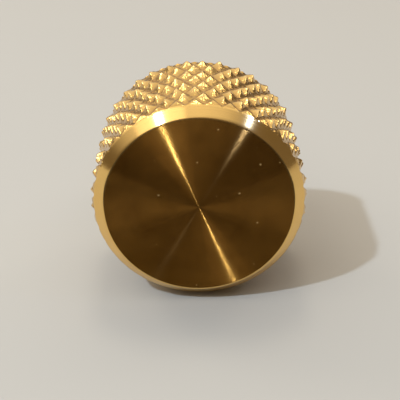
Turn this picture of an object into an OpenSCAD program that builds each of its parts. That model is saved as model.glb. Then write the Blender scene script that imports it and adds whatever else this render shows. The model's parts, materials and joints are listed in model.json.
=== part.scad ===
// Saxophone neck screw: one solid brass thumbscrew, turned and knurled, lying on its head.
// The axis runs along Y. The end face looks towards -Y and the shank points towards +Y.
// The origin is on the axis, where the shank leaves the seat under the head.

/* [Head] */
// Diameter over the tips of the knurl
head_d = 14; // [10:0.5:20]
// Length of the head, from its end face to the seat under it
head_l = 9; // [6:0.5:14]
// How far the flat ends lie inside the tips, with a 45 degree chamfer at both ends of the head
head_chamfer = 1; // [0.6:0.1:1.6]

/* [Knurl] */
// Grooves around the head in each of the two directions
knurl_count = 37; // [24:1:60]
// Angle of the grooves to the axis
knurl_angle = 30; // [20:1:45]
// Depth of the grooves below the tips
knurl_depth = 0.4; // [0.2:0.05:0.5]
// Distance from the last row of tips to the chamfer at the seat
knurl_margin = 0.1; // [0.05:0.05:0.5]
// Length over which the tips rise to their full height, behind the chamfer at the end face
knurl_lead = 0.95; // [0.3:0.05:1.5]

/* [Shank] */
// Outside diameter of the shank and its thread
shank_d = 5; // [3:0.5:7]
// Length of the shank, from the seat to its tip
shank_l = 12; // [6:0.5:20]
// Size of the 45 degree chamfer at the tip of the shank
shank_chamfer = 0.7; // [0.3:0.1:1]

/* [Hidden] */

// A true circle at any number above 12
$fn = 96;

// Radii of the diamonds' tips, of the pits between them and of the flat end faces
tip_r = head_d / 2;
pit_r = tip_r - knurl_depth;
face_r = tip_r - head_chamfer;

// The chamfer at the end face stops this far outside the pits, and the knurl rises from its rim
rim_margin = 0.05;
rim_r = pit_r + rim_margin;
rim_y = rim_r - face_r - head_l;
lead_slope = (tip_r - rim_r) / knurl_lead;

// Tips and pits alternate around a ring, and from each ring to the next along the axis
ring_points = 2 * knurl_count;
point_angle = 360 / ring_points;
ring_step = PI * tip_r / knurl_count / tan(knurl_angle);

// Rings before and after the last row of tips, with one beyond the end face and one beyond the seat
last_row = -head_chamfer - knurl_margin;
front_rings = ceil((head_l + last_row) / ring_step) + 1;
back_rings = ceil(-last_row / ring_step) + 1;
ring_count = front_rings + 1 + back_rings;

// The blank stands this far outside the tips, so that only the knurl shapes the grip
blank_margin = 0.2;
blank_r = tip_r + blank_margin;
blank_chamfer = head_chamfer + blank_margin;

// The screw lies on two rows of tips, each half a step from straight down
lay_angle = point_angle / 2;

brass = [0.78, 0.60, 0.30];

// Every other point of the knurl is the tip of a diamond
function is_tip(ring, i) = (ring - front_rings + i) % 2 == 0;

// A point of the knurl
function knurl_point(ring, i) =
    let (r = is_tip(ring, i) ? tip_r : pit_r)
    let (a = i * point_angle + lay_angle)
    [r * sin(a), r * cos(a), (ring - front_rings) * ring_step + last_row];

// The place of that point in the list, counted round the ring
function knurl_index(ring, i) = ring * ring_points + i % ring_points;

// The two triangles of a cell, which meet along the groove that joins its two pits
function knurl_cell(ring, i) =
    let (a = knurl_index(ring, i))
    let (b = knurl_index(ring, i + 1))
    let (c = knurl_index(ring + 1, i + 1))
    let (d = knurl_index(ring + 1, i))
    is_tip(ring, i) ? [[a, b, d], [b, c, d]] : [[a, b, c], [a, c, d]];

// Diamond knurl: every tip is a pyramid of four triangles between crossing grooves
module knurl() {
    points = [
        for (ring = [0 : ring_count - 1], i = [0 : ring_points - 1])
            knurl_point(ring, i)
    ];
    grip = [
        for (ring = [0 : ring_count - 2], i = [0 : ring_points - 1])
            each knurl_cell(ring, i)
    ];
    front = [for (i = [ring_points - 1 : -1 : 0]) knurl_index(0, i)];
    back = [for (i = [0 : ring_points - 1]) knurl_index(ring_count - 1, i)];
    polyhedron(points, concat([front], grip, [back]));
}

// Turned blank of the head, with its flat ends and chamfers
module head_blank() {
    rotate_extrude()
        polygon([
            [0, -head_l],
            [face_r, -head_l],
            [rim_r, rim_y],
            [blank_r, rim_y + (blank_r - rim_r) / lead_slope],
            [blank_r, -blank_chamfer],
            [face_r, 0],
            [0, 0]
        ]);
}

// Shank, rooted in the middle of the head
module shank() {
    shank_r = shank_d / 2;
    rotate_extrude()
        polygon([
            [0, -head_l / 2],
            [shank_r, -head_l / 2],
            [shank_r, shank_l - shank_chamfer],
            [shank_r - shank_chamfer, shank_l],
            [0, shank_l]
        ]);
}

module neck_screw() {
    color(brass)
        rotate([-90, 0, 0]) {
            intersection() {
                head_blank();
                knurl();
            }
            shank();
        }
}

neck_screw();
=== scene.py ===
"""Looks of a saxophone neck screw: a turned brass head with a diamond knurl, and a threaded shank."""

import json
import math

import bpy
import numpy as np
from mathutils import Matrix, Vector


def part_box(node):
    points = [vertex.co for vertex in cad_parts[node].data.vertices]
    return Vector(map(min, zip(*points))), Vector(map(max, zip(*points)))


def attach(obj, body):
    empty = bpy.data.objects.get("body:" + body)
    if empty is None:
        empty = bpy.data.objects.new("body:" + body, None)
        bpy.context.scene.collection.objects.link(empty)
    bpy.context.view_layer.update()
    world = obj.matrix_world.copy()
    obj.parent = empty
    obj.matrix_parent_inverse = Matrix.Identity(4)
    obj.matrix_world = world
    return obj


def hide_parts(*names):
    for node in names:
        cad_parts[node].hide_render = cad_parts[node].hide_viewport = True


MM = 0.001

# Packed frame: every size that it gives is read from it, in millimetres
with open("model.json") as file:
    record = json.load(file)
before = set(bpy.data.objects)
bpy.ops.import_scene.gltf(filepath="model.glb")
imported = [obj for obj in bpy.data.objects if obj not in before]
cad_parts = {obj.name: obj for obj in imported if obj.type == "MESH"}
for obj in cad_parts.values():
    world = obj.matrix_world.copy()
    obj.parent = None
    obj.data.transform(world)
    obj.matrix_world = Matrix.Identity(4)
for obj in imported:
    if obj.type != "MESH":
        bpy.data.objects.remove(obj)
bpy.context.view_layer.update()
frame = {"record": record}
low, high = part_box("neck_screw")
mounts = {mount["name"]: mount for mount in frame["record"]["mounts"]}

READ_PLACES = 3
TIP_R = round(high.x / MM, READ_PLACES)
FACE_Y = round(low.y / MM, READ_PLACES)
END_Y = round(high.y / MM, READ_PLACES)
SEAT_Y = mounts["seat"]["pos_m"][1] / MM
SHANK_R = mounts["shank"]["dims"]["r_mm"]
SHANK_CHAMFER = END_Y - SEAT_Y - mounts["shank"]["dims"]["length_mm"]
FLOOR_Z = low.z / MM

# Turned blank of the head, with a small round on the edges of its flat ends
HEAD_CHAMFER = 1.0
FACE_R = TIP_R - HEAD_CHAMFER
HEAD_MID_Y = (FACE_Y + SEAT_Y) / 2
EDGE_ROUND = 0.06

# Knurl, as it is cut
KNURL_COUNT = 37
KNURL_ANGLE = math.radians(30)
KNURL_DEPTH = 0.4
KNURL_MARGIN = 0.1
PIT_R = TIP_R - KNURL_DEPTH
LAST_ROW_Y = SEAT_Y - HEAD_CHAMFER - KNURL_MARGIN
HALF_PITCH = math.pi / KNURL_COUNT
RING_STEP = TIP_R * HALF_PITCH / math.tan(KNURL_ANGLE)

# The screw lies on two rows of tips, each half a step from straight down
LAY_STEPS = 0.5

# Rim where the chamfer at the end face stops, and the lead-in over which the tips rise behind it
RIM_MARGIN = 0.05
RIM_R = PIT_R + RIM_MARGIN
RIM_Y = FACE_Y + RIM_R - FACE_R
LEAD_L = 0.95
LEAD_SLOPE = (TIP_R - RIM_R) / LEAD_L

# Softness, curve, lean and wear of a diamond, taken as 1 wide and 1 high
RIDGE_SOFT = 0.08
GROOVE_SOFT = 0.05
FLANK_CURVE = 1.2
LEAN_MOST = 0.17
BLUNT_MOST = 0.18
BLUNT_SOFT = 0.04
KNURL_SEED = 11

# Shank: a plain part, then a right-hand metric thread
ROOT_ROUND = 0.15
PLAIN_L = 3.5
THREAD_PITCH = 0.8
THREAD_DEPTH_SHARE = 0.613
THREAD_DEPTH = THREAD_DEPTH_SHARE * THREAD_PITCH
THREAD_RUNOUT = 1.0
CREST_FLAT = 1 / 8
ROOT_FLAT = 1 / 4

# Fineness of the mesh
COLUMNS_PER_HALF_PITCH = 8
COLUMNS = 2 * KNURL_COUNT * COLUMNS_PER_HALF_PITCH
SHANK_COLUMNS = COLUMNS // COLUMNS_PER_HALF_PITCH
ROWS_PER_RING_STEP = 12
ROW_STEP = RING_STEP / ROWS_PER_RING_STEP
ROWS_BEFORE_LAST = int((LAST_ROW_Y - RIM_Y) / ROW_STEP)
ROWS_AFTER_LAST = int(KNURL_MARGIN / ROW_STEP)
BLEND_ROWS = 3
CHAMFER_ROWS = 6
ROUND_ROWS = 3
SHANK_ROW_STEP = 0.05
CROSSING_STEPS = 30
SHARP_ANGLE = math.radians(38)

# Turning grooves of the end face and the seat, too fine to see, and how far they wander
GROOVES_PER_MM = 60
DRIFTS_PER_MM = 2
GROOVE_DRIFT = 6

# Steepest slopes of their two flanks: the outward ones get steeper from an inner radius to the edge
INWARD_SLOPE = 1.0
INNER_R = 2.0
INNER_SLOPE = 0.86
OUTER_SLOPE = 1.32

# Tiny nicks in those faces, most of them far smaller than the largest
NICKS_PER_MM = 0.8
NICK_MOST_R = 0.07
NICK_POWER = 4
NICK_TONE = (0.80, 0.55, 0.25, 1)

# Two tones of each brass surface, which its patches or its height blend
# The end face's and seat's tones sit far below the chamfer's brass, as a painted dark reflection
FACE_PAINTED_DARK_TONES = ((0.169, 0.077, 0.0145, 1), (0.229, 0.109, 0.022, 1))
CHAMFER_TONES = ((0.84, 0.53, 0.17, 1), (0.96, 0.64, 0.23, 1))
# Knurl: the darker tone in its grooves is painted shade, the brighter one on its tips is rubbed wear
KNURL_SHADE_AND_WEAR_TONES = ((0.62, 0.37, 0.10, 1), (0.98, 0.69, 0.29, 1))
# Shank: the darker tone in the thread's roots is painted shade
SHANK_ROOT_SHADE_TONES = ((0.50, 0.30, 0.09, 1), (0.84, 0.57, 0.22, 1))

# Tint of the reflections at a grazing angle on the end face and the seat
FACE_EDGE_TINT = (0.72, 0.54, 0.34, 1)

# Least and most roughness of each surface
FACE_ROUGHNESS = (0.18, 0.21)
CHAMFER_ROUGHNESS = (0.155, 0.205)
KNURL_ROUGHNESS = (0.12, 0.26)
SHANK_ROUGHNESS = (0.24, 0.36)

# How far the gloss is drawn out across the turning marks, and the turn that lays it across them
FACE_ANISOTROPY = 0.88
CHAMFER_ANISOTROPY = 0.9
SHANK_ANISOTROPY = 0.6
QUARTER_TURN = 0.25

# Fineness of the patterns, and the range that most of a noise lies in
FACE_RINGS_PER_MM = 9
CHAMFER_RINGS_PER_MM = 14
FACE_PATCHES_PER_MM = 0.7
CHAMFER_PATCHES_PER_MM = 0.5
SHANK_PATCHES_PER_MM = 1.2
KNURL_GRAINS_PER_MM = 3.0
RING_DETAIL = 3.0
PATCH_DETAIL = 4.0
GRAIN_DETAIL = 1.0
NOISE_ROUGHNESS = 0.6
NOISE_RANGE = (0.3, 0.7)

# Share of the knurl's depth at its tips that is rubbed brightest, above the painted shade of its
# grooves, and the height of its grain
BRIGHT_TIP_SHARE = 0.1
GRAIN_HEIGHT = 0.05

# Surfaces of the screw, in the order of its material slots
TURNED_FACE, CHAMFER, KNURL, SHANK = range(4)


def knurl_wear():
    """How far each diamond's tip is worn down and leans each way, by ring and by place round it."""
    shape = (KNURL_COUNT, 2 * KNURL_COUNT)
    chance = np.random.default_rng(KNURL_SEED)
    blunting = chance.random(shape) * BLUNT_MOST
    right_lean = (chance.random(shape) * 2 - 1) * LEAN_MOST
    left_lean = (chance.random(shape) * 2 - 1) * LEAN_MOST
    return blunting, right_lean, left_lean


BLUNTING, RIGHT_LEAN, LEFT_LEAN = knurl_wear()


def off_ridge(place, lean):
    """Distance from a diamond's ridge, which leans off its middle: half at the groove on either side."""
    return np.where(place < lean, (lean - place) / (1 + 2 * lean), (place - lean) / (1 - 2 * lean))


def knurl_radius(angle, y):
    """Radius of the knurl at an angle from straight down and a place along the axis."""
    around = angle / HALF_PITCH - LAY_STEPS
    along = (y - LAST_ROW_Y) / RING_STEP
    right_hand = (around + along) / 2
    left_hand = (around - along) / 2
    right_index = np.round(right_hand)
    left_index = np.round(left_hand)
    ring = (right_index - left_index).astype(int) % BLUNTING.shape[0]
    place = (right_index + left_index).astype(int) % BLUNTING.shape[1]
    right_off = off_ridge(right_hand - right_index, RIGHT_LEAN[ring, place])
    left_off = off_ridge(left_hand - left_index, LEFT_LEAN[ring, place])
    far = (right_off + left_off + np.sqrt((right_off - left_off) ** 2 + RIDGE_SOFT**2)) / 2
    height = np.sqrt(np.maximum(1 - 2 * far, 0) ** (2 * FLANK_CURVE) + GROOVE_SOFT**2)
    top = 1 - BLUNTING[ring, place]
    height = (height + top - np.sqrt((height - top) ** 2 + BLUNT_SOFT**2)) / 2
    lead = RIM_R + (y - RIM_Y) * LEAD_SLOPE
    return np.minimum(PIT_R + KNURL_DEPTH * height, lead)


def chamfer_crossing(angle, end_y, inward):
    """Where the 45 degree chamfer from one end of the head meets the knurl, for each angle."""
    near = np.zeros_like(angle)
    far = np.full_like(angle, HEAD_CHAMFER)
    for _ in range(CROSSING_STEPS):
        middle = (near + far) / 2
        outside = FACE_R + middle > knurl_radius(angle, end_y + inward * middle)
        far = np.where(outside, middle, far)
        near = np.where(outside, near, middle)
    return near


def head_end_rings(angle, end_y, inward, knurl_y):
    """Rings from a flat end of the head, over its rounded edge and chamfer, to the knurl's even rows."""
    flat_r = FACE_R - 2 * EDGE_ROUND
    rings = [(np.full_like(angle, flat_r), np.full_like(angle, end_y))]
    corner = EDGE_ROUND * math.sqrt(0.5)
    for t in np.linspace(0, 1, ROUND_ROWS):
        r = FACE_R - EDGE_ROUND * (1 - t) ** 2 + corner * t**2
        rings.append((np.full_like(angle, r), np.full_like(angle, end_y + inward * corner * t**2)))
    crossing = chamfer_crossing(angle, end_y, inward)
    for t in np.linspace(0, 1, CHAMFER_ROWS + 1)[1:]:
        reach = corner + (crossing - corner) * t
        rings.append((FACE_R + reach, end_y + inward * reach))
    edge_y = end_y + inward * crossing
    for t in np.linspace(0, 1, BLEND_ROWS + 1)[1:-1]:
        y = edge_y + (knurl_y - edge_y) * t
        rings.append((knurl_radius(angle, y), y))
    return rings


def head_rings(angle):
    """Rings of the whole head, from the end face to the seat, with the surface that starts at each."""
    first_y = LAST_ROW_Y - ROWS_BEFORE_LAST * ROW_STEP
    last_y = LAST_ROW_Y + ROWS_AFTER_LAST * ROW_STEP
    front = head_end_rings(angle, FACE_Y, 1, first_y)
    back = head_end_rings(angle, SEAT_Y, -1, last_y)[::-1]
    middle = []
    for row in range(ROWS_BEFORE_LAST + ROWS_AFTER_LAST + 1):
        y = np.full_like(angle, first_y + row * ROW_STEP)
        middle.append((knurl_radius(angle, y), y))
    rings = front + middle + back
    end = [TURNED_FACE] + [CHAMFER] * (ROUND_ROWS + CHAMFER_ROWS - 1)
    knurled = len(rings) - 1 - 2 * len(end)
    return rings, end + [KNURL] * knurled + end[::-1]


def thread_radius(angle, y):
    """Radius of the threaded shank, with its run-out towards the head and its chamfered tip."""
    phase = (y / THREAD_PITCH + angle / (2 * math.pi)) % 1
    off_crest = np.abs(phase - 0.5)
    flank = (1 - CREST_FLAT - ROOT_FLAT) / 2
    cut = np.clip((off_crest - CREST_FLAT / 2) / flank, 0, 1)
    fade = np.clip((y - SEAT_Y - PLAIN_L) / THREAD_RUNOUT, 0, 1)
    fade = fade * fade * (3 - 2 * fade)
    tip = SHANK_R - SHANK_CHAMFER + (END_Y - y)
    return np.minimum(SHANK_R - THREAD_DEPTH * cut * fade, tip)


def shank_rings(angle):
    """Rings of the shank, from the fillet at the seat to the edge of its end."""
    rings = []
    for t in np.linspace(0, math.pi / 2, ROUND_ROWS + 1):
        r = SHANK_R + ROOT_ROUND * (1 - math.sin(t))
        y = SEAT_Y + ROOT_ROUND * (1 - math.cos(t))
        rings.append((np.full_like(angle, r), np.full_like(angle, y)))
    first = SEAT_Y + ROOT_ROUND
    count = round((END_Y - first) / SHANK_ROW_STEP)
    for y in np.linspace(first, END_Y, count + 1)[1:]:
        level = np.full_like(angle, y)
        rings.append((thread_radius(angle, level), level))
    return rings


def ring_points(angle, rings):
    """Points of a stack of rings around the axis, in metres, ring by ring."""
    r = np.array([ring[0] for ring in rings])
    y = np.array([ring[1] for ring in rings])
    points = np.stack([r * np.sin(angle), y, -r * np.cos(angle)], axis=-1)
    return points.reshape(-1, 3) * MM


def ring_quads(first, ring_count, columns):
    """Outward faces between neighbouring rings whose points start at the index first."""
    quads = []
    for ring in range(ring_count - 1):
        here = first + ring * columns
        there = here + columns
        for i in range(columns):
            j = (i + 1) % columns
            quads.append((here + i, there + i, there + j, here + j))
    return quads


def seat_faces(head_ring, shank_ring):
    """Flat seat between the head's last ring and the coarser first ring of the shank."""
    faces = []
    step = COLUMNS_PER_HALF_PITCH
    half = step // 2
    for column in range(SHANK_COLUMNS):
        inner = shank_ring + column
        next_inner = shank_ring + (column + 1) % SHANK_COLUMNS
        outer = [head_ring + (column * step + k) % COLUMNS for k in range(step + 1)]
        for k in range(half):
            faces.append((outer[k], inner, outer[k + 1]))
        faces.append((outer[half], inner, next_inner))
        for k in range(half, step):
            faces.append((outer[k], next_inner, outer[k + 1]))
    return faces


def screw_mesh():
    """The whole screw as one closed mesh, with a surface number for every face."""
    head_angle = np.arange(COLUMNS) * 2 * math.pi / COLUMNS
    shank_angle = np.arange(SHANK_COLUMNS) * 2 * math.pi / SHANK_COLUMNS
    head, surfaces = head_rings(head_angle)
    shank = shank_rings(shank_angle)
    points = np.concatenate([
        ring_points(head_angle, head),
        ring_points(shank_angle, shank),
        np.array([[0, FACE_Y, 0], [0, END_Y, 0]]) * MM,
    ])
    shank_first = len(head) * COLUMNS
    face_centre = len(points) - 2
    end_centre = len(points) - 1
    end_first = face_centre - SHANK_COLUMNS
    seat_first = shank_first - COLUMNS

    front = [(face_centre, i, (i + 1) % COLUMNS) for i in range(COLUMNS)]
    sides = ring_quads(0, len(head), COLUMNS)
    seat = seat_faces(seat_first, shank_first)
    thread = ring_quads(shank_first, len(shank), SHANK_COLUMNS)
    tip = [
        (end_centre, end_first + (i + 1) % SHANK_COLUMNS, end_first + i)
        for i in range(SHANK_COLUMNS)
    ]
    slots = [TURNED_FACE] * len(front)
    slots += [surface for surface in surfaces for _ in range(COLUMNS)]
    slots += [TURNED_FACE] * len(seat)
    slots += [SHANK] * (len(thread) + len(tip))

    mesh = bpy.data.meshes.new("neck_screw_turned")
    mesh.from_pydata(points.tolist(), [], front + sides + seat + thread + tip)
    mesh.polygons.foreach_set("material_index", slots)
    mesh.shade_smooth()
    mesh.set_sharp_from_angle(angle=SHARP_ANGLE)
    return mesh


def make_node(tree, kind, inputs=None, **settings):
    """Adds a node, with its settings, and with values or links on the named inputs."""
    made = tree.nodes.new(kind)
    for name, value in settings.items():
        setattr(made, name, value)
    for name, value in (inputs or {}).items():
        if isinstance(value, bpy.types.NodeSocket):
            tree.links.new(value, made.inputs[name])
        else:
            made.inputs[name].default_value = value
    return made


def maths(tree, operation, *values):
    """Result of a sum on numbers, as a socket."""
    made = make_node(tree, "ShaderNodeMath", dict(enumerate(values)), operation=operation)
    return made.outputs["Value"]


def vector_maths(tree, operation, *values, result="Vector"):
    """Result of a sum on vectors, as a socket."""
    made = make_node(tree, "ShaderNodeVectorMath", dict(enumerate(values)), operation=operation)
    return made.outputs[result]


def scaled(tree, value, low_in, high_in, low_out, high_out, easing="LINEAR"):
    """A value moved from one range to another, and held inside it."""
    made = make_node(
        tree,
        "ShaderNodeMapRange",
        {
            "Value": value,
            "From Min": low_in,
            "From Max": high_in,
            "To Min": low_out,
            "To Max": high_out,
        },
        interpolation_type=easing,
    )
    return made.outputs["Result"]


def blended(tree, amount, first, second):
    """A colour between two others."""
    made = make_node(
        tree, "ShaderNodeMix", {"Factor": amount, "A": first, "B": second}, data_type="RGBA"
    )
    return made.outputs["Result"]


def object_coords(tree):
    """Place on the screw, in metres, as a socket."""
    return make_node(tree, "ShaderNodeTexCoord").outputs["Object"]


def axis_radius(tree):
    """Distance from the screw's axis, in millimetres, as a socket."""
    across = vector_maths(tree, "MULTIPLY", object_coords(tree), (1 / MM, 0, 1 / MM))
    return vector_maths(tree, "LENGTH", across, result="Value")


def turning_rings(tree, radius, rings_per_mm):
    """Fine rings that a cutting tool leaves, as a value between 0 and 1."""
    noise = make_node(
        tree,
        "ShaderNodeTexNoise",
        {"W": radius, "Scale": rings_per_mm, "Detail": RING_DETAIL, "Roughness": NOISE_ROUGHNESS},
        noise_dimensions="1D",
    )
    return noise.outputs["Fac"]


def mottle(tree, patches_per_mm, detail=PATCH_DETAIL):
    """Soft uneven patches over a surface, as a value between 0 and 1."""
    noise = make_node(
        tree,
        "ShaderNodeTexNoise",
        {
            "Vector": object_coords(tree),
            "Scale": patches_per_mm / MM,
            "Detail": detail,
            "Roughness": NOISE_ROUGHNESS,
        },
    )
    return noise.outputs["Fac"]


def nicks(tree):
    """Scattered nicks in a flat face, as 1 on each and 0 elsewhere."""
    place = make_node(tree, "ShaderNodeSeparateXYZ", {"Vector": object_coords(tree)}).outputs
    flat = make_node(tree, "ShaderNodeCombineXYZ", {"X": place["X"], "Y": place["Z"]})
    cells = make_node(
        tree,
        "ShaderNodeTexVoronoi",
        {"Vector": flat.outputs["Vector"], "Scale": NICKS_PER_MM / MM},
        voronoi_dimensions="2D",
    ).outputs
    chance = make_node(tree, "ShaderNodeSeparateColor", {"Color": cells["Color"]}).outputs["Red"]
    share = maths(tree, "POWER", chance, NICK_POWER)
    size = maths(tree, "MULTIPLY", share, NICK_MOST_R * NICKS_PER_MM)
    return maths(tree, "LESS_THAN", cells["Distance"], size)


def grooved_normal(tree, radius):
    """Normal of a turned face, which its grooves round the axis tip inwards and outwards."""
    drift = turning_rings(tree, radius, DRIFTS_PER_MM)
    wander = maths(tree, "MULTIPLY", drift, GROOVE_DRIFT)
    grooves = maths(tree, "MULTIPLY_ADD", radius, GROOVES_PER_MM, wander)
    place = maths(tree, "PINGPONG", grooves, 1)
    outward_slope = scaled(tree, radius, INNER_R, FACE_R, INNER_SLOPE, OUTER_SLOPE)
    tilt = scaled(tree, place, 0, 1, -INWARD_SLOPE, outward_slope, "SMOOTHSTEP")
    across = vector_maths(tree, "MULTIPLY", object_coords(tree), (1, 0, 1))
    outward = vector_maths(tree, "NORMALIZE", across)
    lean = vector_maths(tree, "MULTIPLY", outward, tilt)
    turned = make_node(
        tree,
        "ShaderNodeVectorTransform",
        {"Vector": lean},
        vector_type="VECTOR",
        convert_from="OBJECT",
        convert_to="WORLD",
    )
    flat = make_node(tree, "ShaderNodeNewGeometry").outputs["Normal"]
    leaning = vector_maths(tree, "ADD", flat, turned.outputs["Vector"])
    return vector_maths(tree, "NORMALIZE", leaning)


def brass(name, anisotropic=0.0):
    """A bare brass shader, with its turning marks round the axis where it is anisotropic."""
    material = bpy.data.materials.new(name)
    material.use_nodes = True
    tree = material.node_tree
    shader = tree.nodes["Principled BSDF"]
    shader.inputs["Metallic"].default_value = 1.0
    shader.inputs["Anisotropic"].default_value = anisotropic
    if anisotropic:
        tangent = make_node(tree, "ShaderNodeTangent", direction_type="RADIAL", axis="Y")
        shader.inputs["Anisotropic Rotation"].default_value = QUARTER_TURN
        tree.links.new(tangent.outputs["Tangent"], shader.inputs["Tangent"])
    return material, tree, shader


def turned_face_material():
    """End face and seat: very fine turning grooves and a few nicks, over a tone darkened as a painted
    dark reflection.
    """
    material, tree, shader = brass("brass_turned_face", FACE_ANISOTROPY)
    radius = axis_radius(tree)
    rings = turning_rings(tree, radius, FACE_RINGS_PER_MM)
    patches = scaled(tree, mottle(tree, FACE_PATCHES_PER_MM), *NOISE_RANGE, 0, 1)
    # Painted dark reflection: these tones are far darker than the brass of the chamfer
    tone = blended(tree, patches, *FACE_PAINTED_DARK_TONES)
    tone = blended(tree, nicks(tree), tone, NICK_TONE)
    shader.inputs["Specular Tint"].default_value = FACE_EDGE_TINT
    tree.links.new(tone, shader.inputs["Base Color"])
    tree.links.new(scaled(tree, rings, *NOISE_RANGE, *FACE_ROUGHNESS), shader.inputs["Roughness"])
    tree.links.new(grooved_normal(tree, radius), shader.inputs["Normal"])
    return material


def chamfer_material():
    """Chamfers: a brighter turned band."""
    material, tree, shader = brass("brass_chamfer", CHAMFER_ANISOTROPY)
    rings = turning_rings(tree, axis_radius(tree), CHAMFER_RINGS_PER_MM)
    tone = blended(tree, mottle(tree, CHAMFER_PATCHES_PER_MM), *CHAMFER_TONES)
    tree.links.new(tone, shader.inputs["Base Color"])
    tree.links.new(scaled(tree, rings, *NOISE_RANGE, *CHAMFER_ROUGHNESS), shader.inputs["Roughness"])
    return material


def knurl_material():
    """Knurl: bright rubbed tips over grooves darkened with painted shade, with a fine grain."""
    material, tree, shader = brass("brass_knurl")
    # Painted shade: darker towards the bottom of the grooves, brighter on the rubbed tips
    height = scaled(tree, axis_radius(tree), PIT_R, TIP_R - BRIGHT_TIP_SHARE * KNURL_DEPTH, 0, 1)
    grain = mottle(tree, KNURL_GRAINS_PER_MM, GRAIN_DETAIL)
    bump = make_node(tree, "ShaderNodeBump", {"Height": grain, "Distance": GRAIN_HEIGHT * MM})
    tree.links.new(blended(tree, height, *KNURL_SHADE_AND_WEAR_TONES), shader.inputs["Base Color"])
    tree.links.new(scaled(tree, grain, *NOISE_RANGE, *KNURL_ROUGHNESS), shader.inputs["Roughness"])
    tree.links.new(bump.outputs["Normal"], shader.inputs["Normal"])
    return material


def shank_material():
    """Shank: cut thread, with painted shade darkening its roots."""
    material, tree, shader = brass("brass_thread", SHANK_ANISOTROPY)
    # Painted shade: darker towards the roots of the thread
    height = scaled(tree, axis_radius(tree), SHANK_R - THREAD_DEPTH, SHANK_R, 0, 1)
    patches = mottle(tree, SHANK_PATCHES_PER_MM)
    tree.links.new(blended(tree, height, *SHANK_ROOT_SHADE_TONES), shader.inputs["Base Color"])
    tree.links.new(scaled(tree, patches, *NOISE_RANGE, *SHANK_ROUGHNESS), shader.inputs["Roughness"])
    return material


def make_screw():
    """The screw itself, in place of its plain solid."""
    mesh = screw_mesh()
    screw = bpy.data.objects.new("neck_screw_turned", mesh)
    bpy.context.scene.collection.objects.link(screw)
    for material in (turned_face_material(), chamfer_material(), knurl_material(), shank_material()):
        mesh.materials.append(material)
    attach(screw, "root")
    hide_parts("neck_screw")


# Stage: a plain pale floor
FLOOR_HALF = 1500
FLOOR_CORNERS = (
    (-FLOOR_HALF, -FLOOR_HALF, 0),
    (FLOOR_HALF, -FLOOR_HALF, 0),
    (FLOOR_HALF, FLOOR_HALF, 0),
    (-FLOOR_HALF, FLOOR_HALF, 0),
)
FLOOR_TONE = (0.48, 0.462, 0.428, 1)
MATTE_ROUGHNESS = 0.9

# Dark card just outside the foot of the picture, seen only in the metal as a painted dark reflection for
# the end face to mirror
CARD_CORNERS = ((-45, -19.6, 0.3), (45, -19.6, 0.3), (45, -40, 17), (-45, -40, 17))
CARD_TONE = (0.034, 0.026, 0.016, 1)


def matte_sheet(name, corners, tone):
    """A flat matte sheet, from its corners in millimetres, with their heights over the floor."""
    points = [(x * MM, y * MM, (FLOOR_Z + up) * MM) for x, y, up in corners]
    mesh = bpy.data.meshes.new(name)
    mesh.from_pydata(points, [], [tuple(range(len(points)))])
    material = bpy.data.materials.new(f"{name}_matte")
    material.use_nodes = True
    shader = material.node_tree.nodes["Principled BSDF"]
    shader.inputs["Base Color"].default_value = tone
    shader.inputs["Roughness"].default_value = MATTE_ROUGHNESS
    mesh.materials.append(material)
    sheet = bpy.data.objects.new(name, mesh)
    bpy.context.scene.collection.objects.link(sheet)
    return sheet


def make_floor():
    """The floor that the screw lies on."""
    floor = matte_sheet("floor", FLOOR_CORNERS, FLOOR_TONE)


def make_card():
    """The card, a painted dark reflection that shows only in the metal and casts no shadow."""
    card = matte_sheet("dark_card", CARD_CORNERS, CARD_TONE)
    card.visible_camera = False
    card.visible_diffuse = False
    card.visible_shadow = False


# Light: a soft dome that brightens towards one direction, and lamps that face the head
DOME_BRIGHT = (1.0, 0.93, 0.82, 1)
DOME_DIM = (0.18, 0.145, 0.105, 1)
DOME_LEAN = (-0.25, 0.3, 1.0)
DOME_FROM = 0.4
DOME_TO = 0.75
LAMP_DISTANCE = 0.4

# Each lamp's name, direction from the head, size in metres, strength and colour
KEY_DIRECTION = (-0.502, -0.42, 0.757)
WARM = (1.0, 0.90, 0.76)
LAMPS = (
    ("key", KEY_DIRECTION, 0.016, 1.85, (0.68, 0.83, 1.0)),
    ("key_soft", KEY_DIRECTION, 0.30, 0.32, WARM),
    ("second", (0.662, -0.117, 0.740), 0.018, 1.35, (0.34, 0.48, 1.0)),
    ("top", (0.0, 0.344, 0.94), 0.10, 0.45, (1.0, 0.90, 0.74)),
    ("back_left", (-0.675, 0.5, 0.542), 0.14, 0.40, WARM),
    ("back_right", (0.675, 0.5, 0.542), 0.14, 0.25, WARM),
)

# Lamps that light only the metal, and so cast no shadow on the floor
GLINT_LAMPS = ("second",)


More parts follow.
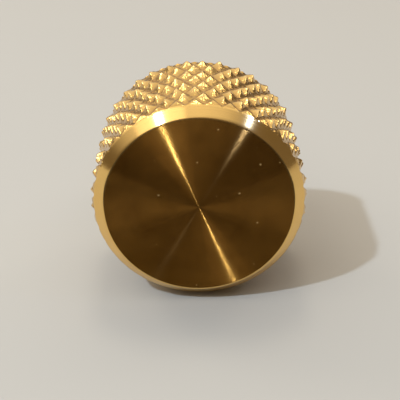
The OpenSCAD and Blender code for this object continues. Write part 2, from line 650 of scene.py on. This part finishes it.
def make_dome():
    """Soft light from all round."""
    world = bpy.data.worlds.new("soft_dome")
    world.use_nodes = True
    bpy.context.scene.world = world
    tree = world.node_tree
    direction = make_node(tree, "ShaderNodeTexCoord").outputs["Generated"]
    lean = vector_maths(tree, "DOT_PRODUCT", direction, DOME_LEAN, result="Value")
    share = scaled(tree, lean, DOME_FROM, DOME_TO, 0, 1)
    tree.links.new(blended(tree, share, DOME_DIM, DOME_BRIGHT), tree.nodes["Background"].inputs["Color"])


def make_lamp(name, direction, size, strength, colour):
    """A round lamp that faces the middle of the head."""
    lamp = bpy.data.lights.new(name, "AREA")
    lamp.shape = "DISK"
    lamp.size = size
    lamp.color = colour
    lamp.energy = strength * math.pi * LAMP_DISTANCE**2
    holder = bpy.data.objects.new(name, lamp)
    holder.visible_diffuse = name not in GLINT_LAMPS
    bpy.context.scene.collection.objects.link(holder)
    unit = np.array(direction) / np.linalg.norm(direction)
    holder.location = np.array([0, HEAD_MID_Y, 0]) * MM + unit * LAMP_DISTANCE
    holder.rotation_mode = "QUATERNION"
    holder.rotation_quaternion = Vector(unit).to_track_quat("Z", "Y")


# Camera: fitted to the end face and the knurl, in millimetres and degrees
CAMERA_AT = (-0.316, -58.92, 26.25)
CAMERA_DOWN = 27.26
CAMERA_RIGHT = 0.42
CAMERA_LENS = 81.36
SENSOR = 36.0
CLIP_START = 1.0


def make_camera():
    """The camera, at the photograph's angle."""
    data = bpy.data.cameras.new("camera")
    data.lens = CAMERA_LENS
    data.sensor_width = SENSOR
    data.clip_start = CLIP_START * MM
    camera = bpy.data.objects.new("camera", data)
    bpy.context.scene.collection.objects.link(camera)
    camera.location = [c * MM for c in CAMERA_AT]
    camera.rotation_euler = (math.radians(90 - CAMERA_DOWN), 0, math.radians(-CAMERA_RIGHT))
    bpy.context.scene.camera = camera


make_screw()
make_floor()
make_card()
make_dome()
for lamp_values in LAMPS:
    make_lamp(*lamp_values)
make_camera()
bpy.context.scene.view_settings.view_transform = "Standard"
